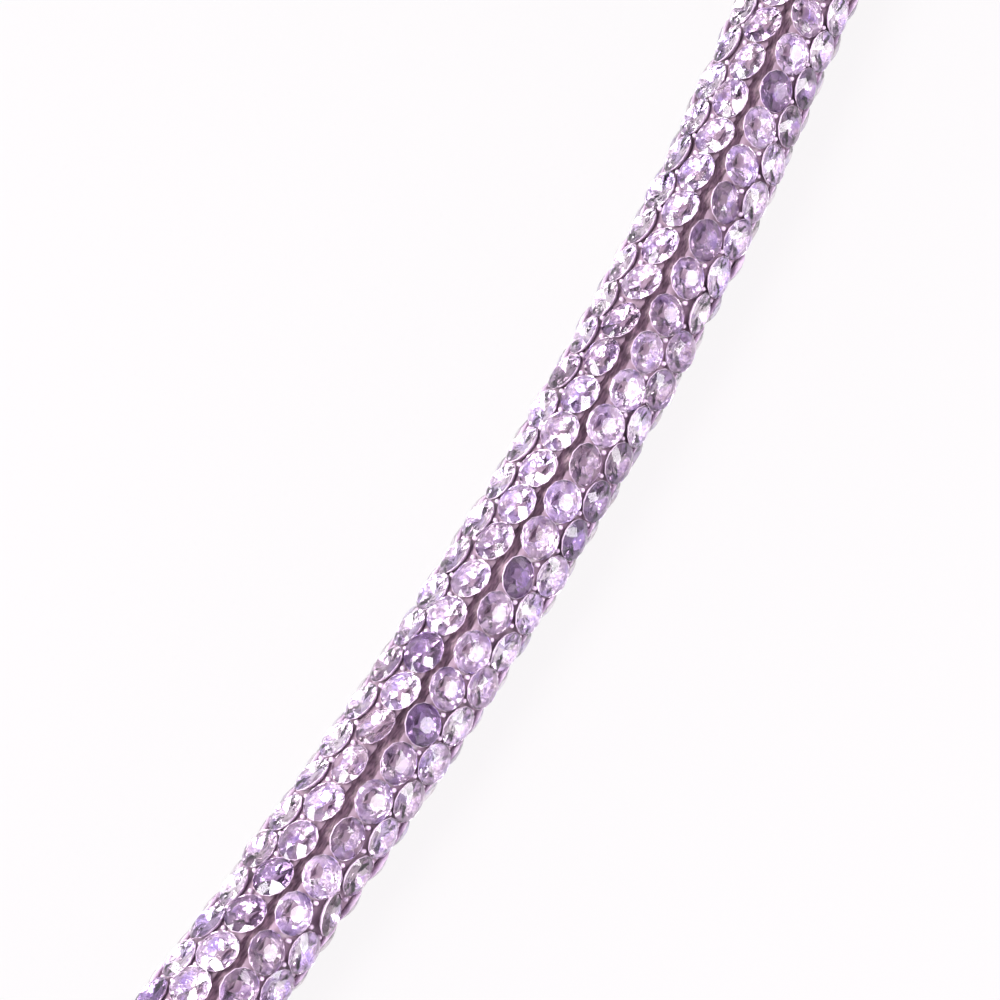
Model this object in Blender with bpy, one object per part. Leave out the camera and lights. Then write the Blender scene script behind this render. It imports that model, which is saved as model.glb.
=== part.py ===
"""Rhinestone rope trim, one yard.

A soft round core is wrapped in a banding of nine rows of round stones, whose two edges meet along one
lengthwise seam. The trim lies on a flat surface: a gentle arc, then a neat round coil of four turns.

Metres, +Z up. The origin is the middle of the whole trim's footprint, on the surface it lies on.
"""

from math import cos, pi, radians, sin

import bpy
import bmesh
import numpy as np
from mathutils import Vector

MM = 0.001

# Driving sizes
TRIM_LENGTH = 914.4 * MM
ROPE_RADIUS = 3.2 * MM
STONE_PITCH = 2.45 * MM
CLEARANCE = 0.3 * MM
REST_HEIGHT = 3.1 * MM

# The stones' rows, as angles from the top of the rope towards its right side
ROW_COUNT = 9
FIRST_ROW = 18.5
ROW_STEP = 39.4
TABLE_HALF_ANGLE = 9.0
SEAM_ANGLE = (FIRST_ROW + (ROW_COUNT - 1) * ROW_STEP - 360.0 + FIRST_ROW) / 2
SEAM_HALF_ANGLE = 5.0
# The rope rolls a little to its right, less and less from the cut end to the coil
ROLL_AT_CUT = 11.0
ROLL_AT_COIL = 5.5

# Radii of the banding: over a stone, between two stones of a row, between two rows, and inside
BETWEEN_STONES = 2.95 * MM
BETWEEN_ROWS = 2.75 * MM
BANDING_BORE = 2.2 * MM
BORE_SIDES = 9
CORE_RADIUS = 1.75 * MM

# Anything lower than this is pressed flat onto the surface
PRESSED_HEIGHT = 0.3 * MM

# Route of the uncoiled run from its cut end, in millimetres from the middle of the coil
RUN_ROUTE = (
    (-12.80, -107.40),
    (-5.89, -97.97),
    (-1.21, -91.00),
    (2.50, -85.19),
    (6.09, -79.29),
    (9.55, -73.30),
    (12.87, -67.22),
    (16.04, -61.05),
    (19.05, -54.77),
    (22.40, -46.95),
    (24.30, -42.31),
    (26.06, -37.60),
    (27.71, -32.90),
    (29.22, -28.15),
    (30.64, -23.37),
    (31.95, -18.55),
)

# The coil: turns lie beside and on each other, one turn pitch apart
COIL_ENTRY = -12.0
OUTER_TURN = 35.4 * MM
TURN_PITCH = 6.75 * MM
COIL_POINT_STEP = 15.0
SECTION_STEP = 6.0
# Each move of the rope from one turn to the next, by the angle wound since the entry
MOVES = (
    {"goes": "in", "start": 255.0, "end": 350.0},
    {"goes": "up", "start": 585.0, "end": 675.0},
    {"goes": "out", "start": 910.0, "end": 1005.0},
    {"goes": "up", "start": 1240.0, "end": 1330.0},
)
MOST_WOUND = 1500.0

# Outline of the coil's bundle, read by rays from its middle
RAY_COUNT = 40
BUNDLE_MIDDLE_HEIGHT = REST_HEIGHT + 0.53 * TURN_PITCH
WEB_RADIUS = 1.2 * MM
GROOVE_ANGLE = 7.0

LILAC = (0.66, 0.55, 0.70, 1.0)
PALE_LILAC = (0.72, 0.62, 0.75, 1.0)
DARK_MAUVE = (0.16, 0.10, 0.14, 1.0)


def clear_scene():
    for old in list(bpy.data.objects):
        bpy.data.objects.remove(old, do_unlink=True)


def make_material(name, colour, roughness):
    material = bpy.data.materials.new(name)
    material.use_nodes = True
    shader = material.node_tree.nodes["Principled BSDF"]
    shader.inputs["Base Color"].default_value = colour
    shader.inputs["Roughness"].default_value = roughness
    shader.inputs["Metallic"].default_value = 0.0
    return material


def eased(share):
    """A smooth step from 0 to 1: half of one minus the cosine of half a turn."""
    return 0.5 - 0.5 * np.cos(pi * np.clip(share, 0.0, 1.0))


def coil_place(wound):
    """Radius and height of the rope's centreline after it has wound this many degrees round the coil."""
    shift = {"in": 0.0, "out": 0.0, "up": 0.0}
    for move in MOVES:
        share = (wound - move["start"]) / (move["end"] - move["start"])
        shift[move["goes"]] = shift[move["goes"]] + eased(share)
    radius = OUTER_TURN + TURN_PITCH * (shift["out"] - shift["in"])
    height = REST_HEIGHT + TURN_PITCH * shift["up"]
    return radius, height


def smooth_curve(points, samples):
    """A cubic spline through the points, with its second derivative zero at both ends.

    It is written over the running chord length, and gives that many evenly spaced readings of it.
    """
    chord = np.r_[0.0, np.cumsum(np.linalg.norm(np.diff(points, axis=0), axis=1))]
    step = np.diff(chord)
    count = len(points)
    system = np.eye(count)
    right = np.zeros((count, 3))
    slope = np.diff(points, axis=0) / step[:, None]
    inner = np.arange(1, count - 1)
    system[inner, inner - 1] = step[:-1]
    system[inner, inner] = 2.0 * (step[:-1] + step[1:])
    system[inner, inner + 1] = step[1:]
    right[1:-1] = 6.0 * np.diff(slope, axis=0)
    bend = np.linalg.solve(system, right)
    at = np.linspace(0.0, chord[-1], samples)
    k = np.clip(np.searchsorted(chord, at, side="right") - 1, 0, count - 2)
    a = (chord[k + 1] - at)[:, None]
    b = (at - chord[k])[:, None]
    h = step[k][:, None]
    curve = (bend[k] * a**3 + bend[k + 1] * b**3) / (6.0 * h)
    curve += (points[k] / h - bend[k] * h / 6.0) * a
    curve += (points[k + 1] / h - bend[k + 1] * h / 6.0) * b
    return curve


def trim_route():
    """The whole trim's centreline, the running length along it, and the length at which the coil starts."""
    run = [(x * MM, y * MM, REST_HEIGHT) for x, y in RUN_ROUTE]
    wound = np.arange(0.0, MOST_WOUND, COIL_POINT_STEP)
    radius, height = coil_place(wound)
    turned = np.radians(COIL_ENTRY + wound)
    coil = np.stack([radius * np.cos(turned), radius * np.sin(turned), height], axis=1)
    line = smooth_curve(np.vstack([run, coil]), 12000)
    length = np.r_[0.0, np.cumsum(np.linalg.norm(np.diff(line, axis=0), axis=1))]
    entry = length[np.argmin(np.linalg.norm(line - coil[0], axis=1))]
    return line, length, entry


def wound_at_far_end(line, length):
    """Degrees wound round the coil when the whole trim's length is used up."""
    end = [np.interp(TRIM_LENGTH, length, line[:, axis]) for axis in (0, 1)]
    turned = np.degrees(np.arctan2(end[1], end[0])) - COIL_ENTRY
    whole_turns = int(MOVES[-1]["end"] // 360)
    return whole_turns * 360.0 + turned % 360.0


def stations(line, length, at):
    """Points on the centreline at these running lengths, and the rope's level right-hand directions there."""
    reach = 0.5 * MM
    place = np.stack([np.interp(at, length, line[:, axis]) for axis in range(3)], axis=1)
    ahead = np.stack([np.interp(at + reach, length, line[:, axis]) for axis in range(3)], axis=1)
    behind = np.stack([np.interp(at - reach, length, line[:, axis]) for axis in range(3)], axis=1)
    heading = ahead - behind
    heading[:, 2] = 0.0
    heading /= np.linalg.norm(heading, axis=1)[:, None]
    right = np.stack([heading[:, 1], -heading[:, 0], np.zeros(len(at))], axis=1)
    return place, right


def banding_outline(ring):
    """Angles and radii of the banding's section, out over its rows and back round its bore.

    A row has a stone at every second ring, and neighbouring rows take turns.
    """
    angles = [SEAM_ANGLE + SEAM_HALF_ANGLE]
    radii = [BETWEEN_ROWS]
    for row in range(ROW_COUNT):
        middle = FIRST_ROW + row * ROW_STEP
        over = ROPE_RADIUS if (ring + row) % 2 == 0 else BETWEEN_STONES
        angles += [middle - TABLE_HALF_ANGLE, middle + TABLE_HALF_ANGLE]
        radii += [over, over]
        if row < ROW_COUNT - 1:
            angles.append(middle + ROW_STEP / 2)
            radii.append(BETWEEN_ROWS)
    left_edge = 360.0 + SEAM_ANGLE - SEAM_HALF_ANGLE
    angles.append(left_edge)
    radii.append(BETWEEN_ROWS)
    angles += list(np.linspace(left_edge, SEAM_ANGLE + SEAM_HALF_ANGLE, BORE_SIDES + 1))
    radii += [BANDING_BORE] * (BORE_SIDES + 1)
    return np.radians(angles), np.array(radii)


def link_mesh(name, points, faces, material, collection):
    """One closed mesh from its points and faces, with doubled points merged and its faces pointing out."""
    mesh = bpy.data.meshes.new(name)
    mesh.from_pydata([tuple(p) for p in points], [], faces)
    work = bmesh.new()
    work.from_mesh(mesh)
    bmesh.ops.remove_doubles(work, verts=work.verts, dist=1e-6)
    bmesh.ops.dissolve_degenerate(work, edges=work.edges, dist=1e-6)
    bmesh.ops.recalc_face_normals(work, faces=work.faces)
    work.to_mesh(mesh)
    work.free()
    mesh.materials.append(material)
    mesh.shade_smooth()
    mesh.set_sharp_from_angle(angle=radians(50))
    piece = bpy.data.objects.new(name, mesh)
    collection.objects.link(piece)
    return piece


def loft_faces(rings, around, looped):
    """Quads between neighbouring rings of points, joined last to first, or with a flat cap on both ends."""
    faces = []
    for ring in range(rings if looped else rings - 1):
        near = ring * around
        far = (ring + 1) % rings * around
        for k in range(around):
            after = (k + 1) % around
            faces.append((near + k, near + after, far + after, far + k))
    if not looped:
        faces.append(tuple(range(around)))
        faces.append(tuple(range((rings - 1) * around, rings * around)))
    return faces


def make_banding(line, length, entry, material, collection):
    """The banding along the run: lofted sections, one over the stones and one between them in turn."""
    rings = int((entry - CLEARANCE) / (STONE_PITCH / 2))
    at = np.linspace(0.0, entry - CLEARANCE, rings + 1)
    place, right = stations(line, length, at)
    roll = np.linspace(ROLL_AT_CUT, ROLL_AT_COIL, rings + 1)
    points = []
    for ring in range(rings + 1):
        angle, radius = banding_outline(ring)
        angle = angle + radians(roll[ring])
        section = place[ring] + np.outer(radius * np.sin(angle), right[ring])
        section[:, 2] += radius * np.cos(angle)
        section[section[:, 2] < PRESSED_HEIGHT, 2] = 0.0
        points.append(section)
    around = len(points[0])
    faces = loft_faces(rings + 1, around, False)
    return link_mesh("banding_run", np.vstack(points), faces, material, collection)


def make_core(line, length, entry, material, collection):
    """The core along the run: a round tube with a flat cap on both ends."""
    place, _ = stations(line, length, np.linspace(0.0, entry - CLEARANCE, 30))
    curve = bpy.data.curves.new("core_run", "CURVE")
    curve.dimensions = "3D"
    curve.bevel_depth = CORE_RADIUS
    curve.bevel_resolution = 3
    curve.use_fill_caps = True
    spline = curve.splines.new("POLY")
    spline.points.add(len(place) - 1)
    spline.points.foreach_set("co", np.c_[place, np.ones(len(place))].ravel())
    curve.materials.append(material)
    core = bpy.data.objects.new("core_run", curve)
    collection.objects.link(core)
    return core


def bundle_outline(wounds):
    """The coil's outline at one angle: how far each ray from the bundle's middle stays in the rope's passes.

    A ray that just misses a pass stops level with the point where a ray would touch it, which leaves a
    shallow groove between neighbouring passes.
    """
    middle = np.array([OUTER_TURN - TURN_PITCH / 2, BUNDLE_MIDDLE_HEIGHT])
    ray = np.linspace(0.0, 2.0 * pi, RAY_COUNT, endpoint=False)
    out = np.full(RAY_COUNT, WEB_RADIUS)
    for wound in wounds:
        radius, height = coil_place(wound)
        offset = np.array([radius, height]) - middle
        away = np.hypot(*offset)
        turn = np.arctan2(offset[1], offset[0])
        off = np.abs((ray - turn + pi) % (2.0 * pi) - pi)
        side = away * np.sin(off)
        hit = (side < ROPE_RADIUS) & (off < pi / 2)
        depth = away * np.cos(off) + np.sqrt(np.maximum(ROPE_RADIUS**2 - side**2, 0.0))
        out = np.where(hit, np.maximum(out, depth), out)
        if away > ROPE_RADIUS:
            touch = np.arcsin(ROPE_RADIUS / away)
            groove = ~hit & (off < touch + radians(GROOVE_ANGLE))
            out = np.where(groove, np.maximum(out, away * np.cos(touch)), out)
    return middle[0] + out * np.cos(ray), middle[1] + out * np.sin(ray)


def make_coil(last_wound, material, collection):
    """The coil: a turned ring with the outline of its passes, whose cut end and entry are flat steps."""
    last_window = last_wound % 360.0
    windows = sorted(set(np.arange(0.0, 361.0, SECTION_STEP)) | {last_window})
    points = []
    for window in windows:
        wounds = np.arange(window, last_wound + 0.01, 360.0)
        sections = [wounds]
        if window == last_window:
            sections.append(wounds[:-1])
        for passes in sections:
            radius, height = bundle_outline(passes)
            turned = radians(COIL_ENTRY + window)
            section = np.stack([radius * cos(turned), radius * sin(turned), height], axis=1)
            section[section[:, 2] < PRESSED_HEIGHT, 2] = 0.0
            points.append(section)
    faces = loft_faces(len(points), RAY_COUNT, True)
    return link_mesh("rope_coil", np.vstack(points), faces, material, collection)


def centre_on_origin(pieces):
    """Moves the trim so that the middle of its footprint is the origin."""
    bpy.context.view_layer.update()
    corners = np.array([piece.matrix_world @ Vector(c) for piece in pieces for c in piece.bound_box])
    middle = (corners.min(axis=0) + corners.max(axis=0)) / 2
    for piece in pieces:
        piece.location.x -= middle[0]
        piece.location.y -= middle[1]


def main():
    clear_scene()
    collection = bpy.data.collections.new("rhinestone rope trim")
    bpy.context.scene.collection.children.link(collection)
    line, length, entry = trim_route()
    banding_look = make_material("lilac stones", PALE_LILAC, 0.15)
    core_look = make_material("dark mauve core", DARK_MAUVE, 0.85)
    coil_look = make_material("wound stones", LILAC, 0.15)
    banding = make_banding(line, length, entry, banding_look, collection)
    core = make_core(line, length, entry, core_look, collection)
    coil = make_coil(wound_at_far_end(line, length), coil_look, collection)
    centre_on_origin([banding, core, coil])


main()
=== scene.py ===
"""Rhinestone rope trim: the stones, their net, the soft core and the studio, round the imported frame.

Metres, +Z up. The rope's centreline repeats the route of the solids: a gentle arc, then a neat round coil.
A station is one place along that line. An angle round the rope is measured from its top to its right side.
"""

from math import cos, pi, radians, sin

import bmesh
import bpy
import numpy as np
from bpy.props import FloatProperty, FloatVectorProperty, IntProperty, PointerProperty
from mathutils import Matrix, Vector


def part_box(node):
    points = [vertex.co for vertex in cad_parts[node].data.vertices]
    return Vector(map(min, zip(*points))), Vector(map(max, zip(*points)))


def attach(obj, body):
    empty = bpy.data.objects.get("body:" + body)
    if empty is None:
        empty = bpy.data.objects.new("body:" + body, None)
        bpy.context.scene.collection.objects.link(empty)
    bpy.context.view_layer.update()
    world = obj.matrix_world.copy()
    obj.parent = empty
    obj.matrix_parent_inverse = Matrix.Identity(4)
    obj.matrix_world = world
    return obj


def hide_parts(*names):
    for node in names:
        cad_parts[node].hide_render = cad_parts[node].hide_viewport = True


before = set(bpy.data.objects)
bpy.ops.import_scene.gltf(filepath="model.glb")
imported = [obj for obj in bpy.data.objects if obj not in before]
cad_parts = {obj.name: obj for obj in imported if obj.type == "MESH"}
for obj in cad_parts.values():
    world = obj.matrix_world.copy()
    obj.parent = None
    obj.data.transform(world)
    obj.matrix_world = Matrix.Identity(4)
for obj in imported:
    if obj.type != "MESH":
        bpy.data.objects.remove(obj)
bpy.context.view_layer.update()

bl_info = {
    "name": "Rhinestone rope trim",
    "version": (1, 0, 0),
    "blender": (4, 5, 0),
    "location": "3D View > Sidebar > Trim",
    "description": "One yard of rope trim with rows of round faceted stones round a soft core",
    "category": "Add Mesh",
}

MM = 0.001
COIL_LOW, COIL_HIGH = (np.array(corner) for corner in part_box("rope_coil"))

# The rope, as in the frame, with angles in degrees
TRIM_LENGTH = 914.4 * MM
REST_HEIGHT = 3.1 * MM
LOWEST = 0.02 * MM
FIRST_ROW = 18.5
ROW_STEP = 39.4
ROLL_AT_CUT = 11.0
ROLL_AT_COIL = 5.5

# Route of the uncoiled run from its cut end, in millimetres from the middle of the coil
RUN_ROUTE = (
    (-12.80, -107.40),
    (-5.89, -97.97),
    (-1.21, -91.00),
    (2.50, -85.19),
    (6.09, -79.29),
    (9.55, -73.30),
    (12.87, -67.22),
    (16.04, -61.05),
    (19.05, -54.77),
    (22.40, -46.95),
    (24.30, -42.31),
    (26.06, -37.60),
    (27.71, -32.90),
    (29.22, -28.15),
    (30.64, -23.37),
    (31.95, -18.55),
)

# The coil: turns lie beside and on each other, one turn pitch apart. Each move to the next turn starts and
# ends at degrees wound since the coil's entry.
COIL_ENTRY = -12.0
OUTER_TURN = 35.4 * MM
TURN_PITCH = 6.75 * MM
COIL_POINT_STEP = 15.0
MOVES = (
    {"goes": "in", "start": 255.0, "end": 350.0},
    {"goes": "up", "start": 585.0, "end": 675.0},
    {"goes": "out", "start": 910.0, "end": 1005.0},
    {"goes": "up", "start": 1240.0, "end": 1330.0},
)
MOST_WOUND = 1500.0
LINE_POINTS = 12000
DIRECTION_REACH = 0.4 * MM
COIL_MIDDLE = np.array(
    [
        (COIL_LOW[0] + COIL_HIGH[0]) / 2,
        COIL_HIGH[1] - (COIL_HIGH[0] - COIL_LOW[0]) / 2,
        0.0,
    ]
)

# Stones: the least way from a cut end to a stone's middle, and one standard deviation of how they differ. A
# row's seed is the first seed plus the row, and gives its stones and its collars the same places.
END_MARGIN = 1.25 * MM
FIRST_SEED = 100
PITCH_SPREAD = 0.03 * MM
ANGLE_SPREAD = 0.7
TILT_SPREAD = radians(4.5)
SIZE_SPREAD = 0.012

# Prongs between the stones: radius, and the shoulders' height from the girdles
PRONG_RADIUS = 0.15 * MM
PRONG_RISE = -0.1 * MM

# The net: its edges along the seam in degrees past the outer rows' middles, its reach past the end stones,
# the share of its rise that it has between the rows beside the seam and the next, and its steps for a stone
EDGE_REACH = 12.0
EDGE_WAVE = 4.0
END_REACH = 0.9 * MM
NEXT_RISE_SHARE = 0.6
WEB_STEPS = 3

# The core: sides, station step, and the low bulge of its cut ends as heights and shares of its radius
CORE_SIDES = 16
CORE_STEP = 1.5 * MM
BULGE_HEIGHT = np.array([0.14, 0.13, 0.09, 0.03]) * MM
BULGE_RADIUS = np.array([0.1, 0.45, 0.8, 0.96])

# The view: the picture's middle from the coil's, the camera's height angle and distance, and the scale
PICTURE_MIDDLE = (7.07 * MM, -72.2 * MM)
CAMERA_ELEVATION = 71.0
CAMERA_DISTANCE = 260.0 * MM
PIXELS_PER_MM = 18.0
PICTURE_PIXELS = 1000
SENSOR_WIDTH = 36.0

# The light table: how much of the floor's brightness is reflected light, how much is its own, and its reach
FLOOR_DIFFUSE = 0.03
FLOOR_GLOW = 0.93
FLOOR_REACH = 2.5

# Softboxes: azimuth from +X and height angle in degrees, distance and sides in metres, and power in watts
SOFTBOXES = (
    {"name": "key", "azimuth": -12.0, "height": 18.0, "away": 0.9, "sides": (0.5, 0.3), "power": 5.0},
    {"name": "left", "azimuth": 185.0, "height": 58.0, "away": 0.9, "sides": (0.42, 0.42), "power": 14.0},
    {"name": "low left", "azimuth": 190.0, "height": 13.0, "away": 0.9, "sides": (0.9, 0.3), "power": 12.0},
)

# The studio round the trim, as pairs of place and colour: from the horizon to the zenith, dark and bright
# cards in it, and where a violet gel hangs over them
STUDIO_HEIGHT = ((0.05, (1.15, 1.12, 1.16)), (0.8, (0.62, 0.56, 0.64)))
STUDIO_CARDS = ((0.44, (0.54, 0.44, 0.58)), (0.54, (1.55, 1.52, 1.54)))
STUDIO_GEL = ((0.50, (1.02, 1.0, 1.0)), (0.60, (0.74, 0.62, 0.95)))
CARD_SCALE = 4.4
GEL_SCALE = 5.5
STUDIO_STRENGTH = 1.5


class TrimSizes(bpy.types.PropertyGroup):
    stone_radius: FloatProperty(
        name="Stone radius",
        description="From a stone's middle to its girdle",
        default=1.21 * MM,
        unit="LENGTH",
    )
    stone_pitch: FloatProperty(
        name="Stone pitch",
        description="From one stone to the next in its row",
        default=2.45 * MM,
        unit="LENGTH",
    )
    girdle_height: FloatProperty(
        name="Girdle height",
        description="From the rope's centreline to the stones' girdles",
        default=2.93 * MM,
        unit="LENGTH",
    )
    row_count: IntProperty(
        name="Rows",
        description="Rows of stones round the rope",
        default=9,
        min=3,
    )
    seam_lean: FloatProperty(
        name="Seam lean",
        description="How far the stones beside the seam lean away from it",
        default=radians(15.0),
        subtype="ANGLE",
    )
    next_lean: FloatProperty(
        name="Next rows' lean",
        description="How far the rows after the seam rows lean towards the seam",
        default=radians(3.5),
        subtype="ANGLE",
    )
    seam_shift: FloatProperty(
        name="Seam shift",
        description="How far the stones beside the seam sit towards it",
        default=0.04 * MM,
        unit="LENGTH",
    )
    row_skew: FloatProperty(
        name="Row skew",
        description="How far each row runs ahead of its neighbour past the half step, in stone pitches",
        default=0.05,
    )
    collar_radius: FloatProperty(
        name="Collar radius",
        description="Outside of the moulded collar that holds a stone",
        default=1.222 * MM,
        unit="LENGTH",
    )
    net_radius: FloatProperty(
        name="Net radius",
        description="From the rope's centreline to the outside of the net under the stones",
        default=2.46 * MM,
        unit="LENGTH",
    )
    net_rise: FloatProperty(
        name="Net rise",
        description="How much higher the net lies between two rows than under the stones",
        default=0.42 * MM,
        unit="LENGTH",
    )
    net_thickness: FloatProperty(
        name="Net thickness",
        description="Wall of the net between the stones",
        default=0.12 * MM,
        unit="LENGTH",
    )
    core_radius: FloatProperty(
        name="Core radius",
        description="Soft core inside the net",
        default=2.32 * MM,
        unit="LENGTH",
    )


class TrimColours(bpy.types.PropertyGroup):
    stone_pale: FloatVectorProperty(
        name="Pale stone",
        description="The stones' lightest pinkish lilac",
        subtype="COLOR",
        default=(0.965, 0.91, 0.945),
    )
    stone_deep: FloatVectorProperty(
        name="Deep stone",
        description="The stones' deepest violet",
        subtype="COLOR",
        default=(0.60, 0.50, 0.88),
    )
    foil: FloatVectorProperty(
        name="Foil",
        description="Metal behind the stones",
        subtype="COLOR",
        default=(0.89, 0.855, 0.905),
    )
    foil_deep: FloatVectorProperty(
        name="Deep foil",
        description="Duller patches of the metal",
        subtype="COLOR",
        default=(0.50, 0.43, 0.47),
    )
    collar: FloatVectorProperty(
        name="Collar",
        description="Moulded collars round the stones",
        subtype="COLOR",
        default=(0.70, 0.56, 0.69),
    )
    net: FloatVectorProperty(
        name="Net",
        description="Moulded net between the collars",
        subtype="COLOR",
        default=(0.36, 0.255, 0.315),
    )
    core: FloatVectorProperty(
        name="Core",
        description="Fibres of the core",
        subtype="COLOR",
        default=(0.33, 0.235, 0.265),
    )
    # Painted shade: the core's cut ends and the side just inside them take this darker colour, like the
    # shaded core in the seam
    core_end_painted_shade: FloatVectorProperty(
        name="Core's cut ends, painted shade",
        description="Painted shade: the core's cut ends and last rings, painted darker than the core",
        subtype="COLOR",
        default=(0.13, 0.085, 0.105),
    )
    floor: FloatVectorProperty(
        name="Floor",
        description="Plain pale ground",
        subtype="COLOR",
        default=(0.985, 0.968, 0.975),
    )


def eased(share):
    """A smooth step from 0 to 1: half of one minus the cosine of half a turn."""
    return 0.5 - 0.5 * np.cos(pi * np.clip(share, 0.0, 1.0))


def coil_points():
    """The rope's places round the coil: the radius and height move by one turn pitch at each move."""
    wound = np.arange(0.0, MOST_WOUND, COIL_POINT_STEP)
    shift = {"in": 0.0, "out": 0.0, "up": 0.0}
    for move in MOVES:
        share = (wound - move["start"]) / (move["end"] - move["start"])
        shift[move["goes"]] = shift[move["goes"]] + eased(share)
    radius = OUTER_TURN + TURN_PITCH * (shift["out"] - shift["in"])
    height = REST_HEIGHT + TURN_PITCH * shift["up"]
    turned = np.radians(COIL_ENTRY + wound)
    return np.stack([radius * np.cos(turned), radius * np.sin(turned), height], axis=1)


def smooth_curve(points, samples):
    """A cubic spline through the points over the running chord length, straight at both ends."""
    chord = np.r_[0.0, np.cumsum(np.linalg.norm(np.diff(points, axis=0), axis=1))]
    step = np.diff(chord)
    count = len(points)
    system = np.eye(count)
    right = np.zeros((count, 3))
    slope = np.diff(points, axis=0) / step[:, None]
    inner = np.arange(1, count - 1)
    system[inner, inner - 1] = step[:-1]
    system[inner, inner] = 2.0 * (step[:-1] + step[1:])
    system[inner, inner + 1] = step[1:]
    right[1:-1] = 6.0 * np.diff(slope, axis=0)
    bend = np.linalg.solve(system, right)
    at = np.linspace(0.0, chord[-1], samples)
    k = np.clip(np.searchsorted(chord, at, side="right") - 1, 0, count - 2)
    a = (chord[k + 1] - at)[:, None]
    b = (at - chord[k])[:, None]
    h = step[k][:, None]
    curve = (bend[k] * a**3 + bend[k + 1] * b**3) / (6.0 * h)
    curve += (points[k] / h - bend[k] * h / 6.0) * a
    curve += (points[k + 1] / h - bend[k + 1] * h / 6.0) * b
    return curve


class Route:
    """The rope's centreline, with its running length and the rope's own directions at any station."""

    def __init__(self):
        run = [(x * MM, y * MM, REST_HEIGHT) for x, y in RUN_ROUTE]
        coil = coil_points()
        self.line = smooth_curve(np.vstack([run, coil]), LINE_POINTS) + COIL_MIDDLE
        steps = np.linalg.norm(np.diff(self.line, axis=0), axis=1)
        self.length = np.r_[0.0, np.cumsum(steps)]
        entry = np.argmin(np.linalg.norm(self.line - coil[0] - COIL_MIDDLE, axis=1))
        self.entry = self.length[entry]

    def places(self, at):
        """Points of the centreline at these running lengths. Before its start the line goes straight on."""
        inside = np.clip(at, 0.0, self.length[-1])
        place = np.stack([np.interp(inside, self.length, self.line[:, k]) for k in range(3)], axis=-1)
        first = (self.line[1] - self.line[0]) / self.length[1]
        return place + np.minimum(at, 0.0)[..., None] * first

    def directions(self, at):
        """Forward, right and up at these running lengths. Right is level, and up is square to both."""
        forward = self.places(at + DIRECTION_REACH) - self.places(at - DIRECTION_REACH)
        forward /= np.linalg.norm(forward, axis=-1, keepdims=True)
        right = np.stack([forward[..., 1], -forward[..., 0], np.zeros(forward.shape[:-1])], axis=-1)
        right /= np.linalg.norm(right, axis=-1, keepdims=True)
        return forward, right, np.cross(right, forward)

    def roll(self, at):
        """Degrees that the rope has rolled to its right: it falls evenly along the run, then stays."""
        share = np.clip(at / self.entry, 0.0, 1.0)
        return ROLL_AT_CUT + (ROLL_AT_COIL - ROLL_AT_CUT) * share

    def wrap(self, at, angle, radius):
        """Points round the rope: the centreline, plus the radius turned by the angle and the roll."""
        _, right, up = self.directions(at)
        turned = np.radians(angle + self.roll(at))[..., None]
        away = np.sin(turned) * right + np.cos(turned) * up
        return self.places(at) + np.asarray(radius)[..., None] * away


def fill_mesh(name, points, corners, counts, smooth=True):
    """A mesh from whole arrays: points, the points of every face one after another, and each face's count."""
    mesh = bpy.data.meshes.new(name)
    mesh.vertices.add(len(points))
    mesh.vertices.foreach_set("co", np.ascontiguousarray(points, dtype=np.float32).ravel())
    mesh.loops.add(len(corners))
    mesh.loops.foreach_set("vertex_index", np.ascontiguousarray(corners, dtype=np.int32))
    mesh.polygons.add(len(counts))
    starts = np.r_[0, np.cumsum(counts)[:-1]].astype(np.int32)
    mesh.polygons.foreach_set("loop_start", starts)
    mesh.polygons.foreach_set("use_smooth", np.full(len(counts), smooth))
    mesh.update(calc_edges=True)
    mesh.validate()
    return mesh


def tube_mesh(name, points, rings, around, cap=None):
    """Quads between neighbouring rings of points, with both ends closed by the faces of the cap.

    The cap gives its faces as points of one ring. Without it, one face closes each end.
    """
    ring = np.arange(rings - 1)[:, None] * around
    k = np.arange(around)[None, :]
    after = (k + 1) % around
    quads = np.stack([ring + k, ring + after, ring + around + after, ring + around + k], axis=2)
    cap = k if cap is None else cap
    first = cap[:, ::-1]
    last = (rings - 1) * around + cap
    corners = np.r_[quads.ravel(), first.ravel(), last.ravel()]
    counts = np.r_[np.full((rings - 1) * around, 4), np.full(2 * len(cap), cap.shape[1])]
    return fill_mesh(name, points, corners, counts)


def join_parts(name, parts, smooth=True):
    """One mesh from several sets of points, corners and counts, with no point below the rope's underside."""
    before = np.cumsum([0] + [len(points) for points, _, _ in parts])
    points = np.vstack([points for points, _, _ in parts])
    points[:, 2] = np.maximum(points[:, 2], LOWEST)
    corners = np.concatenate([corners + start for (_, corners, _), start in zip(parts, before)])
    return fill_mesh(name, points, corners, np.concatenate([counts for _, _, counts in parts]), smooth)


def place_piece(mesh, slot, *nodes):
    """Links the mesh as a piece of the rope that stands for those solids."""
    piece = bpy.data.objects.new(mesh.name, mesh)
    bpy.context.scene.collection.objects.link(piece)
    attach(piece, "root")
    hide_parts(*nodes)
    return piece


def new_group(name, inputs, outputs):
    """An empty shader node group with these sockets, as (name, kind, default) and (name, kind)."""
    group = bpy.data.node_groups.new(name, "ShaderNodeTree")
    for label, kind, default in inputs:
        socket = group.interface.new_socket(name=label, in_out="INPUT", socket_type=kind)
        socket.default_value = default
    for label, kind in outputs:
        group.interface.new_socket(name=label, in_out="OUTPUT", socket_type=kind)
    return group, group.nodes.new("NodeGroupInput"), group.nodes.new("NodeGroupOutput")


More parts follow.
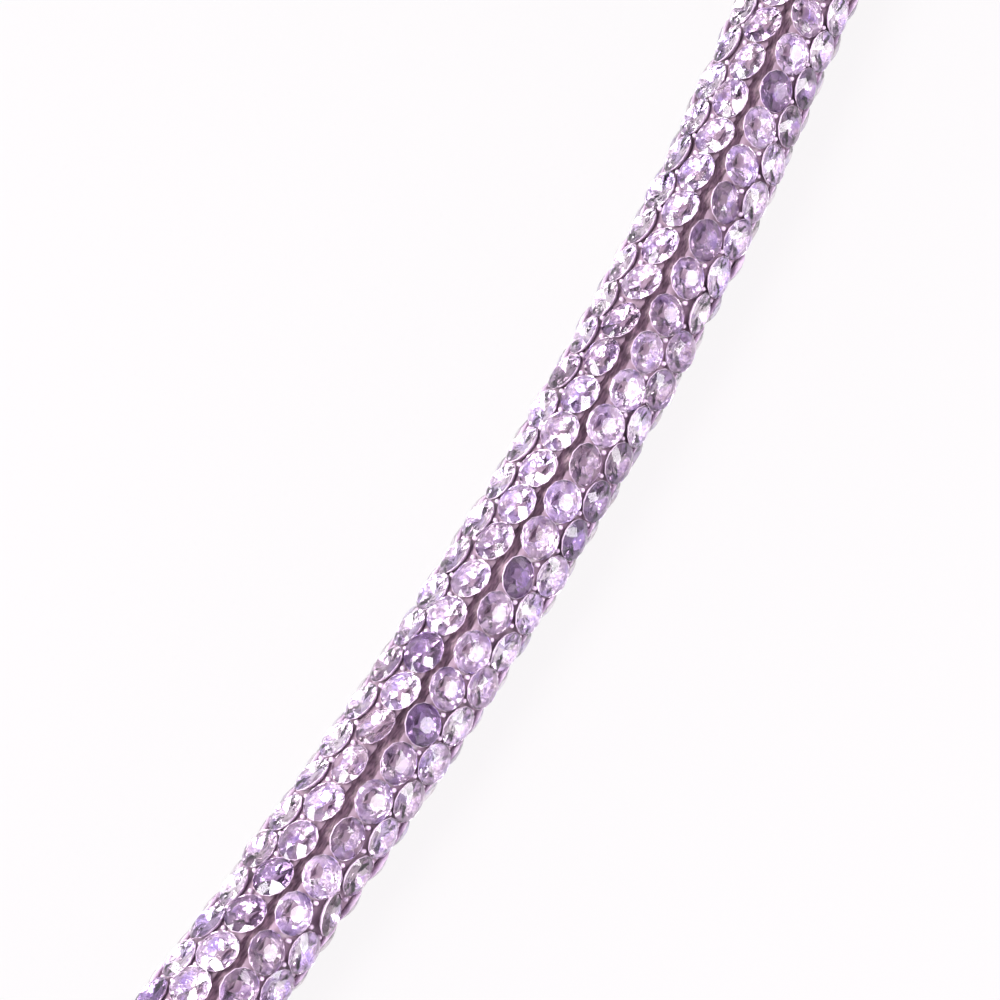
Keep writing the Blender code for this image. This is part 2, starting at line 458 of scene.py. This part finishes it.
def build_stone_tint():
    """Colour by stone: a place between the pale and the deep colour.

    It is the stone's own share raised to the bias, plus soft deep patches smaller than a stone. The grain is
    the scale of the patches' noise.
    """
    group, given, result = new_group(
        "Stone tint",
        (
            ("Pale", "NodeSocketColor", (1.0, 1.0, 1.0, 1.0)),
            ("Deep", "NodeSocketColor", (0.5, 0.5, 0.5, 1.0)),
            ("Bias", "NodeSocketFloat", 1.0),
            ("Patches", "NodeSocketFloat", 0.0),
            ("Grain", "NodeSocketFloat", 850.0),
        ),
        (("Color", "NodeSocketColor"),),
    )
    nodes, links = group.nodes, group.links
    own = nodes.new("ShaderNodeAttribute")
    own.attribute_name = "tint"
    power = nodes.new("ShaderNodeMath")
    power.operation = "POWER"
    where = nodes.new("ShaderNodeTexCoord")
    patch = nodes.new("ShaderNodeTexNoise")
    patch.inputs["Detail"].default_value = 1.0
    edge = nodes.new("ShaderNodeMapRange")
    edge.interpolation_type = "SMOOTHSTEP"
    edge.inputs["From Min"].default_value = 0.54
    edge.inputs["From Max"].default_value = 0.62
    share = nodes.new("ShaderNodeMath")
    share.operation = "MULTIPLY_ADD"
    share.use_clamp = True
    mix = nodes.new("ShaderNodeMix")
    mix.data_type = "RGBA"
    links.new(own.outputs["Fac"], power.inputs[0])
    links.new(given.outputs["Bias"], power.inputs[1])
    links.new(where.outputs["Object"], patch.inputs["Vector"])
    links.new(given.outputs["Grain"], patch.inputs["Scale"])
    links.new(patch.outputs["Fac"], edge.inputs["Value"])
    links.new(edge.outputs["Result"], share.inputs[0])
    links.new(given.outputs["Patches"], share.inputs[1])
    links.new(power.outputs[0], share.inputs[2])
    links.new(share.outputs[0], mix.inputs["Factor"])
    links.new(given.outputs["Pale"], mix.inputs["A"])
    links.new(given.outputs["Deep"], mix.inputs["B"])
    links.new(mix.outputs["Result"], result.inputs["Color"])


def build_mottle():
    """Soft uneven colour and height from one noise in the object's own space.

    The colour is the base times a share that runs from 1 less the spread to 1 plus the spread.
    """
    group, given, result = new_group(
        "Mottle",
        (
            ("Base", "NodeSocketColor", (0.5, 0.5, 0.5, 1.0)),
            ("Spread", "NodeSocketFloat", 0.2),
            ("Scale", "NodeSocketFloat", 900.0),
        ),
        (("Color", "NodeSocketColor"), ("Height", "NodeSocketFloat")),
    )
    nodes, links = group.nodes, group.links
    where = nodes.new("ShaderNodeTexCoord")
    noise = nodes.new("ShaderNodeTexNoise")
    noise.inputs["Detail"].default_value = 4.0
    shade = nodes.new("ShaderNodeMapRange")
    shade.inputs["From Min"].default_value = 0.3
    shade.inputs["From Max"].default_value = 0.7
    less = nodes.new("ShaderNodeMath")
    less.operation = "SUBTRACT"
    less.inputs[0].default_value = 1.0
    more = nodes.new("ShaderNodeMath")
    more.operation = "ADD"
    more.inputs[0].default_value = 1.0
    tone = add_multiply(nodes)
    links.new(where.outputs["Object"], noise.inputs["Vector"])
    links.new(given.outputs["Scale"], noise.inputs["Scale"])
    links.new(noise.outputs["Fac"], shade.inputs["Value"])
    links.new(given.outputs["Spread"], less.inputs[1])
    links.new(given.outputs["Spread"], more.inputs[1])
    links.new(less.outputs[0], shade.inputs["To Min"])
    links.new(more.outputs[0], shade.inputs["To Max"])
    links.new(given.outputs["Base"], tone.inputs["A"])
    links.new(shade.outputs["Result"], tone.inputs["B"])
    links.new(tone.outputs["Result"], result.inputs["Color"])
    links.new(noise.outputs["Fac"], result.inputs["Height"])


def new_material(name, roughness, metallic=0.0):
    """A material with its Principled shader."""
    material = bpy.data.materials.new(name)
    material.use_nodes = True
    shader = material.node_tree.nodes["Principled BSDF"]
    shader.inputs["Roughness"].default_value = roughness
    shader.inputs["Metallic"].default_value = metallic
    return material, shader


def add_group(material, group, values):
    """Places a node group in a material with its own values."""
    node = material.node_tree.nodes.new("ShaderNodeGroup")
    node.node_tree = group
    for label, value in values.items():
        node.inputs[label].default_value = value
    return node


def opaque(colour):
    """The colour with full opacity, as a shader's colour socket takes it."""
    return (*colour, 1.0)


def add_multiply(nodes):
    """A Mix node that multiplies colour A by colour B."""
    mix = nodes.new("ShaderNodeMix")
    mix.data_type = "RGBA"
    mix.blend_type = "MULTIPLY"
    mix.inputs["Factor"].default_value = 1.0
    return mix


def add_ramp(nodes, stops):
    """A colour ramp between two stops, each a place and a colour."""
    ramp = nodes.new("ShaderNodeValToRGB")
    for element, (place, colour) in zip(ramp.color_ramp.elements, stops):
        element.position = place
        element.color = opaque(colour)
    return ramp


def add_bump(material, strength, distance):
    """A Bump node that feeds the Principled shader's normal."""
    nodes, links = material.node_tree.nodes, material.node_tree.links
    bump = nodes.new("ShaderNodeBump")
    bump.inputs["Strength"].default_value = strength
    bump.inputs["Distance"].default_value = distance
    links.new(bump.outputs["Normal"], nodes["Principled BSDF"].inputs["Normal"])
    return bump


def crown_material(colours, tint):
    """Clear faceted glass, tinted stone by stone."""
    material, shader = new_material("stone crown", roughness=0.08)
    shader.inputs["Transmission Weight"].default_value = 1.0
    shader.inputs["IOR"].default_value = 1.54
    values = {"Pale": opaque(colours.stone_pale), "Deep": opaque(colours.stone_deep)}
    node = add_group(material, tint, {**values, "Bias": 30.0, "Patches": 0.85})
    material.node_tree.links.new(node.outputs["Color"], shader.inputs["Base Color"])
    return material


def foil_material(colours, tint):
    """Foil behind the stone: bright metal, a little uneven."""
    material, shader = new_material("stone foil", roughness=0.12, metallic=1.0)
    values = {"Pale": opaque(colours.foil), "Deep": opaque(colours.foil_deep)}
    node = add_group(material, tint, {**values, "Bias": 3.5, "Patches": 0.75, "Grain": 1700.0})
    nodes, links = material.node_tree.nodes, material.node_tree.links
    links.new(node.outputs["Color"], shader.inputs["Base Color"])
    where = nodes.new("ShaderNodeTexCoord")
    dents = nodes.new("ShaderNodeTexNoise")
    dents.inputs["Scale"].default_value = 1900.0
    dents.inputs["Detail"].default_value = 1.0
    bump = add_bump(material, strength=0.6, distance=0.12 * MM)
    links.new(where.outputs["Object"], dents.inputs["Vector"])
    links.new(dents.outputs["Fac"], bump.inputs["Height"])
    return material


def plastic_material(name, colour, mottle, clear):
    """Translucent moulded plastic, slightly cloudy."""
    material, shader = new_material(name, roughness=0.28)
    shader.inputs["Transmission Weight"].default_value = clear
    node = add_group(material, mottle, {"Base": opaque(colour), "Spread": 0.18, "Scale": 700.0})
    bump = add_bump(material, strength=0.25, distance=0.03 * MM)
    links = material.node_tree.links
    links.new(node.outputs["Color"], shader.inputs["Base Color"])
    links.new(node.outputs["Height"], bump.inputs["Height"])
    return material


def core_material(name, colour, mottle):
    """Twisted matt fibres: fine lines that run slantwise along the core, with uneven colour."""
    material, shader = new_material(name, roughness=0.9)
    nodes, links = material.node_tree.nodes, material.node_tree.links
    shader.inputs["Sheen Weight"].default_value = 0.4
    node = add_group(material, mottle, {"Base": opaque(colour), "Spread": 0.45, "Scale": 1500.0})
    along = nodes.new("ShaderNodeUVMap")
    along.uv_map = "Along"
    slant = nodes.new("ShaderNodeMapping")
    slant.inputs["Rotation"].default_value = (0.0, 0.0, radians(32))
    slant.inputs["Scale"].default_value = (1.0, 0.25, 1.0)
    strand = nodes.new("ShaderNodeTexNoise")
    strand.inputs["Scale"].default_value = 9.0
    strand.inputs["Detail"].default_value = 5.0
    bump = add_bump(material, strength=0.9, distance=0.12 * MM)
    ramp = nodes.new("ShaderNodeMapRange")
    ramp.inputs["From Min"].default_value = 0.35
    ramp.inputs["From Max"].default_value = 0.7
    ramp.inputs["To Min"].default_value = 0.6
    ramp.inputs["To Max"].default_value = 1.9
    tone = add_multiply(nodes)
    links.new(along.outputs["UV"], slant.inputs["Vector"])
    links.new(slant.outputs["Vector"], strand.inputs["Vector"])
    links.new(strand.outputs["Fac"], ramp.inputs["Value"])
    links.new(node.outputs["Color"], tone.inputs["A"])
    links.new(ramp.outputs["Result"], tone.inputs["B"])
    links.new(tone.outputs["Result"], shader.inputs["Base Color"])
    links.new(strand.outputs["Fac"], bump.inputs["Height"])
    return material


def floor_material(colours):
    """Pale opal acrylic with a soft glow from below, as on a light table."""
    material, shader = new_material("opal acrylic", roughness=0.7)
    shader.inputs["Base Color"].default_value = opaque(tuple(FLOOR_DIFFUSE * part for part in colours.floor))
    shader.inputs["Emission Color"].default_value = opaque(colours.floor)
    shader.inputs["Emission Strength"].default_value = FLOOR_GLOW
    shader.inputs["Specular IOR Level"].default_value = 0.0
    nodes, links = material.node_tree.nodes, material.node_tree.links
    where = nodes.new("ShaderNodeTexCoord")
    tooth = nodes.new("ShaderNodeTexNoise")
    tooth.inputs["Scale"].default_value = 2500.0
    bump = add_bump(material, strength=0.05, distance=0.02 * MM)
    links.new(where.outputs["Object"], tooth.inputs["Vector"])
    links.new(tooth.outputs["Fac"], bump.inputs["Height"])
    return material


def stone_shape():
    """A round stone of radius 1 with its girdle at height 0, as points, faces and each face's material.

    The crown is the common brilliant cut: an eight-sided table, eight star facets, eight kites and sixteen
    facets at the girdle. Behind the girdle eight wide facets meet in a low point, and eight slivers fill the
    round edge.
    """
    eighth = np.arange(8) * pi / 4
    half = eighth + pi / 8
    table_radius, table_height = 0.40, 0.27
    mid_radius = 0.72
    share = (mid_radius * cos(pi / 8) - table_radius) / (1.0 - table_radius)
    mid_height = table_height * (1.0 - share)
    tip_height = -0.37

    def ring(radius, angles, height):
        return np.stack([radius * np.cos(angles), radius * np.sin(angles), np.full(8, height)], axis=1)

    points = np.vstack(
        [
            ring(table_radius, eighth, table_height),
            ring(mid_radius, half, mid_height),
            ring(1.0, eighth, 0.0),
            ring(1.0, half, 0.0),
            [(0.0, 0.0, tip_height)],
        ]
    )
    table, mid, corner, between, tip = 0, 8, 16, 24, 32
    faces = [tuple(range(8))]
    looks = [0]
    for k in range(8):
        after, before = (k + 1) % 8, (k - 1) % 8
        crown = [
            (table + k, mid + k, table + after),
            (table + k, mid + before, corner + k, mid + k),
            (mid + k, corner + k, between + k),
            (mid + k, between + k, corner + after),
        ]
        back = [(tip, corner + after, corner + k), (corner + k, corner + after, between + k)]
        faces += crown + back
        looks += [0] * len(crown) + [1] * len(back)
    return points, faces, np.array(looks)


def collar_shape(collar_radius, stone_radius):
    """A collar round a stone, as a closed ring: a profile turned in twelve steps.

    Both radii are in stone radii. The profile runs from the foot up the outside, over a lip that stands just
    proud of the girdle, and back inside the stone.
    """
    wall = collar_radius - stone_radius
    profile = np.array(
        [
            (0.78 * collar_radius, -0.25),
            (collar_radius, -0.04),
            (stone_radius + 0.3 * wall, 0.005),
            (stone_radius - 2.0 * wall, -0.015),
        ]
    )
    steps = 12
    turn = np.arange(steps) * 2.0 * pi / steps
    radius = profile[None, :, 0]
    height = np.broadcast_to(profile[None, :, 1], (steps, len(profile)))
    points = np.stack([radius * np.cos(turn)[:, None], radius * np.sin(turn)[:, None], height], axis=2)
    count = len(profile)
    faces = []
    for k in range(steps):
        near, far = k * count, (k + 1) % steps * count
        for j in range(count):
            after = (j + 1) % count
            faces.append((near + j, far + j, far + after, near + after))
    return points.reshape(-1, 3), faces


def repeat_shape(points, faces, places, frames):
    """Points, corners and counts of the shape at every place: place plus its points turned by its frame."""
    spread = places[:, None, :] + np.einsum("pk,nkc->npc", points, frames)
    each = np.array([index for face in faces for index in face])
    counts = np.array([len(face) for face in faces])
    offset = np.arange(len(places))[:, None] * len(points)
    corners = (each[None, :] + offset).ravel()
    return spread.reshape(-1, 3), corners, np.tile(counts, len(places))


def prong_shape():
    """A prong of radius 1 with its shoulder at height 0: a five-sided post with a narrower flat top."""
    sides = 5
    turn = np.arange(sides) * 2.0 * pi / sides
    rings = [
        np.stack([radius * np.cos(turn), radius * np.sin(turn), np.full(sides, height)], axis=1)
        for radius, height in ((1.0, -2.0), (1.0, 0.0), (0.5, 0.6))
    ]
    faces = [tuple(range(sides))[::-1], tuple(range(2 * sides, 3 * sides))]
    for ring in (0, sides):
        for k in range(sides):
            after = (k + 1) % sides
            faces.append((ring + k, ring + after, ring + sides + after, ring + sides + k))
    return np.vstack(rings), faces


def row_stations(sizes, row):
    """Running lengths of a row's stones, and the row's angle round the rope.

    Neighbouring rows are half a pitch apart, and each row runs a little further ahead, so that the first
    and last rows meet out of step.
    """
    phase = (0.5 * (row % 2) + sizes.row_skew * row) % 1.0
    first = END_MARGIN + phase * sizes.stone_pitch
    return np.arange(first, TRIM_LENGTH - END_MARGIN, sizes.stone_pitch), FIRST_ROW + row * ROW_STEP


def stone_places(route, sizes, row, jitter):
    """Where a row's stones sit: their middles on the girdle circle, and three directions of each.

    The directions are ahead along the rope, sideways, and out from the rope. Each stone leans a little, and
    the two rows beside the seam lean away from it, because the net's edges are raised there. The rows after
    them lean a little towards it.
    """
    at, row_angle = row_stations(sizes, row)
    count = len(at)
    at = at + jitter.normal(0.0, PITCH_SPREAD, count)
    seam_side = {0: -1, sizes.row_count - 1: 1}.get(row, 0)
    next_side = {1: -1, sizes.row_count - 2: 1}.get(row, 0)
    shift = np.degrees(seam_side * sizes.seam_shift / sizes.girdle_height)
    angle = row_angle + shift + jitter.normal(0.0, ANGLE_SPREAD, count)
    middle = route.wrap(at, angle, np.full(count, sizes.girdle_height))
    forward, right, up = route.directions(at)
    lean = next_side * sizes.next_lean - seam_side * sizes.seam_lean
    turned = np.radians(row_angle + route.roll(at))[:, None] + lean
    out = np.sin(turned) * right + np.cos(turned) * up
    tilt = jitter.normal(0.0, TILT_SPREAD, (count, 2))
    side = np.cross(out, forward)
    out = out + tilt[:, :1] * forward + tilt[:, 1:] * side
    out /= np.linalg.norm(out, axis=1)[:, None]
    side = np.cross(out, forward)
    side /= np.linalg.norm(side, axis=1)[:, None]
    ahead = np.cross(side, out)
    return middle, ahead, side, out


class TRIM_OT_stage(bpy.types.Operator):
    """Plain pale floor, soft studio light and the picture's camera"""

    bl_idname = "trim.stage"
    bl_label = "Stage"

    def execute(self, context):
        colours = context.scene.trim_colours
        target = COIL_MIDDLE + np.array([*PICTURE_MIDDLE, 0.0])
        self.add_camera(context, target)
        self.add_floor(context, colours)
        self.add_lights(context, target)
        self.add_studio(context)
        return {"FINISHED"}

    def add_camera(self, context, target):
        elevation = radians(CAMERA_ELEVATION)
        back = np.array([0.0, -cos(elevation), sin(elevation)]) * CAMERA_DISTANCE
        data = bpy.data.cameras.new("picture")
        data.sensor_width = SENSOR_WIDTH
        width = PICTURE_PIXELS / PIXELS_PER_MM * MM
        data.lens = SENSOR_WIDTH * CAMERA_DISTANCE / width
        data.clip_start = 0.01
        camera = bpy.data.objects.new("picture", data)
        camera.location = target + back
        camera.rotation_euler = Vector(-back).to_track_quat("-Z", "Y").to_euler()
        context.scene.collection.objects.link(camera)
        context.scene.camera = camera

    def add_floor(self, context, colours):
        mesh = bpy.data.meshes.new("floor")
        work = bmesh.new()
        bmesh.ops.create_grid(work, x_segments=8, y_segments=8, size=FLOOR_REACH)
        work.to_mesh(mesh)
        work.free()
        mesh.materials.append(floor_material(colours))
        floor = bpy.data.objects.new("floor", mesh)
        context.scene.collection.objects.link(floor)

    def add_lights(self, context, target):
        """One area light for each softbox, turned to the picture's middle."""
        for box in SOFTBOXES:
            azimuth, elevation = radians(box["azimuth"]), radians(box["height"])
            level = cos(elevation)
            toward = np.array([level * cos(azimuth), level * sin(azimuth), sin(elevation)])
            data = bpy.data.lights.new(box["name"], "AREA")
            data.shape = "RECTANGLE"
            data.size, data.size_y = box["sides"]
            data.energy = box["power"]
            light = bpy.data.objects.new(box["name"], data)
            light.location = target + toward * box["away"]
            light.rotation_euler = Vector(-toward).to_track_quat("-Z", "Y").to_euler()
            context.scene.collection.objects.link(light)

    def add_studio(self, context):
        """The world's light: its height colour, times the cards' colour, times the gel's colour."""
        world = bpy.data.worlds.new("studio")
        world.use_nodes = True
        nodes, links = world.node_tree.nodes, world.node_tree.links
        sky = nodes["Background"]
        where = nodes.new("ShaderNodeTexCoord")
        split = nodes.new("ShaderNodeSeparateXYZ")
        cards = nodes.new("ShaderNodeTexNoise")
        cards.inputs["Scale"].default_value = CARD_SCALE
        cards.inputs["Detail"].default_value = 1.0
        violet = nodes.new("ShaderNodeTexNoise")
        violet.inputs["Scale"].default_value = GEL_SCALE
        violet.inputs["Detail"].default_value = 0.0
        height_ramp = add_ramp(nodes, STUDIO_HEIGHT)
        card_ramp = add_ramp(nodes, STUDIO_CARDS)
        gel_ramp = add_ramp(nodes, STUDIO_GEL)
        stained = add_multiply(nodes)
        light = add_multiply(nodes)
        links.new(where.outputs["Generated"], split.inputs["Vector"])
        links.new(where.outputs["Generated"], cards.inputs["Vector"])
        links.new(where.outputs["Generated"], violet.inputs["Vector"])
        links.new(split.outputs["Z"], height_ramp.inputs["Fac"])
        links.new(cards.outputs["Fac"], card_ramp.inputs["Fac"])
        links.new(violet.outputs["Fac"], gel_ramp.inputs["Fac"])
        links.new(card_ramp.outputs["Color"], stained.inputs["A"])
        links.new(gel_ramp.outputs["Color"], stained.inputs["B"])
        links.new(height_ramp.outputs["Color"], light.inputs["A"])
        links.new(stained.outputs["Result"], light.inputs["B"])
        links.new(light.outputs["Result"], sky.inputs["Color"])
        sky.inputs["Strength"].default_value = STUDIO_STRENGTH
        context.scene.world = world
        context.scene.view_settings.view_transform = "Standard"


class TRIM_OT_net(bpy.types.Operator):
    """The moulded net between the stones, open along the seam"""

    bl_idname = "trim.net"
    bl_label = "Net"

    def execute(self, context):
        sizes, colours = context.scene.trim_sizes, context.scene.trim_colours
        route = Route()
        mottle = bpy.data.node_groups["Mottle"]
        self.add_web(route, sizes, plastic_material("moulded net", colours.net, mottle, clear=0.15))
        material = plastic_material("moulded collars", colours.collar, mottle, clear=0.2)
        for row in range(sizes.row_count):
            self.add_collars(route, sizes, row, material)
        return {"FINISHED"}

    def add_web(self, route, sizes, material):
        """A thin open sleeve: an outer and an inner wall on a grid of station and angle.

        It rises between two rows and at both edges. Its edges along the seam wave once for each stone, so
        that they fill the way between two stones, and it is cut off just past each row's end stones.
        """
        last = sizes.row_count - 1
        half_rows = np.arange(2 * last + 1)
        ends = np.array([row_stations(sizes, row)[0][[0, -1]] for row in range(sizes.row_count)])
        columns = np.clip(np.arange(-1, 2 * last + 2), 0, 2 * last) / 2
        start = np.interp(columns, np.arange(last + 1), ends[:, 0]) - END_REACH
        stop = np.interp(columns, np.arange(last + 1), ends[:, 1]) + END_REACH
        share = np.linspace(0.0, 1.0, int(TRIM_LENGTH / (sizes.stone_pitch / WEB_STEPS)))[:, None]
        stations = start * (1.0 - share) + stop * share
        step = 2.0 * pi * stations / sizes.stone_pitch
        last_phase = 2.0 * pi * sizes.row_skew * last
        edge_right = FIRST_ROW - EDGE_REACH - EDGE_WAVE * np.cos(step[:, 0])
        edge_left = FIRST_ROW + last * ROW_STEP + EDGE_REACH + EDGE_WAVE * np.cos(step[:, -1] - last_phase)
        inner = np.broadcast_to(FIRST_ROW + ROW_STEP * half_rows / 2, (len(share), len(half_rows)))
        angle = np.column_stack([edge_right, inner, edge_left])
        rise = sizes.net_rise * (half_rows % 2)
        rise[[1, -2]] *= NEXT_RISE_SHARE
        radius = sizes.net_radius + np.r_[sizes.net_rise, rise, sizes.net_rise]
        angle = np.hstack([angle, angle[:, ::-1]])
        stations = np.hstack([stations, stations[:, ::-1]])
        radius = np.r_[radius, radius[::-1] - sizes.net_thickness]
        points = route.wrap(stations, angle, np.broadcast_to(radius, angle.shape))
        rings, size = angle.shape
        k = np.arange(size // 2 - 1)
        cap = np.stack([k, k + 1, size - 2 - k, size - 1 - k], axis=1)
        mesh = tube_mesh("net_web", points.reshape(-1, 3), rings, size, cap)
        mesh.materials.append(material)
        place_piece(mesh, "setting", "banding_run", "rope_coil")

    def add_collars(self, route, sizes, row, material):
        """A collar round every stone of the row, and the prongs beside it, as one mesh.

        A prong stands where three stones of neighbouring rows meet: between two stones of its own row, and a
        third of the way to the next row.
        """
        jitter = np.random.default_rng(FIRST_SEED + row)
        middle, ahead, side, out = stone_places(route, sizes, row, jitter)
        points, faces = collar_shape(sizes.collar_radius / sizes.stone_radius, 1.0)
        frames = np.stack([ahead, side, out], axis=1) * sizes.stone_radius
        parts = [repeat_shape(points, faces, middle, frames)]
        points, faces = prong_shape()
        sides = [-1] * (row > 0) + [1] * (row < sizes.row_count - 1)
        for lean in sides:
            at, angle = row_stations(sizes, row)
            at = at[:-1] + sizes.stone_pitch / 2
            angle = np.full(len(at), angle + lean * ROW_STEP / 3)
            foot = route.wrap(at, angle, np.full(len(at), sizes.girdle_height + PRONG_RISE))
            forward, right, up = route.directions(at)
            turned = np.radians(angle + route.roll(at))[:, None]
            away = np.sin(turned) * right + np.cos(turned) * up
            frames = np.stack([forward, np.cross(away, forward), away], axis=1) * PRONG_RADIUS
            parts.append(repeat_shape(points, faces, foot, frames))
        mesh = join_parts(f"collars_row_{row + 1}", parts)
        mesh.materials.append(material)
        place_piece(mesh, "setting", "banding_run", "rope_coil")


class TRIM_OT_stones(bpy.types.Operator):
    """Faceted stones with foil behind them, one piece for each row"""

    bl_idname = "trim.stones"
    bl_label = "Stones"

    def execute(self, context):
        sizes, colours = context.scene.trim_sizes, context.scene.trim_colours
        route = Route()
        tint = bpy.data.node_groups["Stone tint"]
        looks = (crown_material(colours, tint), foil_material(colours, tint))
        points, faces, look = stone_shape()
        for row in range(sizes.row_count):
            jitter = np.random.default_rng(FIRST_SEED + row)
            middle, ahead, side, out = stone_places(route, sizes, row, jitter)
            count = len(middle)
            spin = jitter.uniform(0.0, pi / 4, count)[:, None]
            x = np.cos(spin) * ahead + np.sin(spin) * side
            y = np.cross(out, x)
            size = sizes.stone_radius * jitter.normal(1.0, SIZE_SPREAD, count)[:, None, None]
            frames = np.stack([x, y, out], axis=1) * size
            parts = [repeat_shape(points, faces, middle, frames)]
            mesh = join_parts(f"stones_row_{row + 1}", parts, smooth=False)
            mesh.polygons.foreach_set("material_index", np.tile(look, count).astype(np.int32))
            share = mesh.attributes.new("tint", "FLOAT", "POINT")
            share.data.foreach_set("value", np.repeat(jitter.random(count), len(points)))
            for material in looks:
                mesh.materials.append(material)
            place_piece(mesh, "stone", "banding_run", "rope_coil")
        return {"FINISHED"}


class TRIM_OT_core(bpy.types.Operator):
    """The soft core, which is also the rope's own line for its length"""

    bl_idname = "trim.core"
    bl_label = "Core"

    def execute(self, context):
        """A tube on a grid of station and angle, whose rings draw in over a low bulge at both cut ends."""
        sizes, colours = context.scene.trim_sizes, context.scene.trim_colours
        route = Route()
        at = np.linspace(0.0, TRIM_LENGTH, int(TRIM_LENGTH / CORE_STEP))
        radius = np.full(len(at), sizes.core_radius)
        inward = BULGE_RADIUS * sizes.core_radius
        at = np.r_[-BULGE_HEIGHT, at, TRIM_LENGTH + BULGE_HEIGHT[::-1]]
        radius = np.r_[inward, radius, inward[::-1]]
        angle = np.linspace(0.0, 360.0, CORE_SIDES, endpoint=False)
        stations, angles = np.meshgrid(at, angle, indexing="ij")
        points = route.wrap(stations, angles, np.broadcast_to(radius[:, None], stations.shape))
        mesh = tube_mesh("core", points.reshape(-1, 3), len(at), CORE_SIDES)
        spread = stations + (sizes.core_radius - radius[:, None]) * np.sign(stations - TRIM_LENGTH / 2)
        self.add_map(mesh, spread.ravel(), angles.ravel(), sizes)
        mottle = bpy.data.node_groups["Mottle"]
        mesh.materials.append(core_material("core fibres", colours.core, mottle))
        # Painted shade: each bulge, about 3 mm of side next to it and both end caps take the darker end
        # colour, standing in for the shade on the core in the seam
        mesh.materials.append(core_material("core ends painted shade", colours.core_end_painted_shade, mottle))
        look = np.zeros(len(mesh.polygons), np.int32)
        painted_shade_faces = (len(BULGE_HEIGHT) + 2) * CORE_SIDES
        caps = 2
        look[:painted_shade_faces] = 1
        look[-painted_shade_faces - caps :] = 1
        mesh.polygons.foreach_set("material_index", look)
        core = place_piece(mesh, "core", "core_run")
        return {"FINISHED"}

    def add_map(self, mesh, stations, angles, sizes):
        """A map in millimetres: across by the way round the core, along by the running length.

        A face that closes the way round takes its last points one whole turn on.
        """
        corner = np.zeros(len(mesh.loops), np.int32)
        mesh.loops.foreach_get("vertex_index", corner)
        start = np.zeros(len(mesh.polygons), np.int32)
        mesh.polygons.foreach_get("loop_start", start)
        total = np.diff(np.r_[start, len(corner)])
        across = np.radians(angles[corner])
        first = np.repeat(across[start], total)
        at_start = across < 0.1
        across = np.where((first > pi) & at_start, across + 2.0 * pi, across)
        place = np.stack([across * sizes.core_radius / MM, stations[corner] / MM], axis=1)
        mesh.uv_layers.new(name="Along")
        mesh.uv_layers["Along"].data.foreach_set("uv", place.astype(np.float32).ravel())


class TRIM_PT_panel(bpy.types.Panel):
    """Sizes and colours of the trim, and the steps that make it"""

    bl_idname = "TRIM_PT_panel"
    bl_label = "Rhinestone rope trim"
    bl_space_type = "VIEW_3D"
    bl_region_type = "UI"
    bl_category = "Trim"

    def draw(self, context):
        for group in (context.scene.trim_sizes, context.scene.trim_colours):
            column = self.layout.column()
            for name in group.__annotations__:
                column.prop(group, name)
        for step in STEPS:
            self.layout.operator(step.bl_idname)


STEPS = (TRIM_OT_stage, TRIM_OT_net, TRIM_OT_stones, TRIM_OT_core)
CLASSES = (TrimSizes, TrimColours, *STEPS, TRIM_PT_panel)


def register():
    for cls in CLASSES:
        bpy.utils.register_class(cls)
    bpy.types.Scene.trim_sizes = PointerProperty(type=TrimSizes)
    bpy.types.Scene.trim_colours = PointerProperty(type=TrimColours)


def unregister():
    del bpy.types.Scene.trim_colours
    del bpy.types.Scene.trim_sizes
    for cls in reversed(CLASSES):
        bpy.utils.unregister_class(cls)


def main():
    register()
    build_stone_tint()
    build_mottle()
    bpy.ops.trim.stage()
    bpy.ops.trim.net()
    bpy.ops.trim.stones()
    bpy.ops.trim.core()


if __name__ == "__main__":
    main()
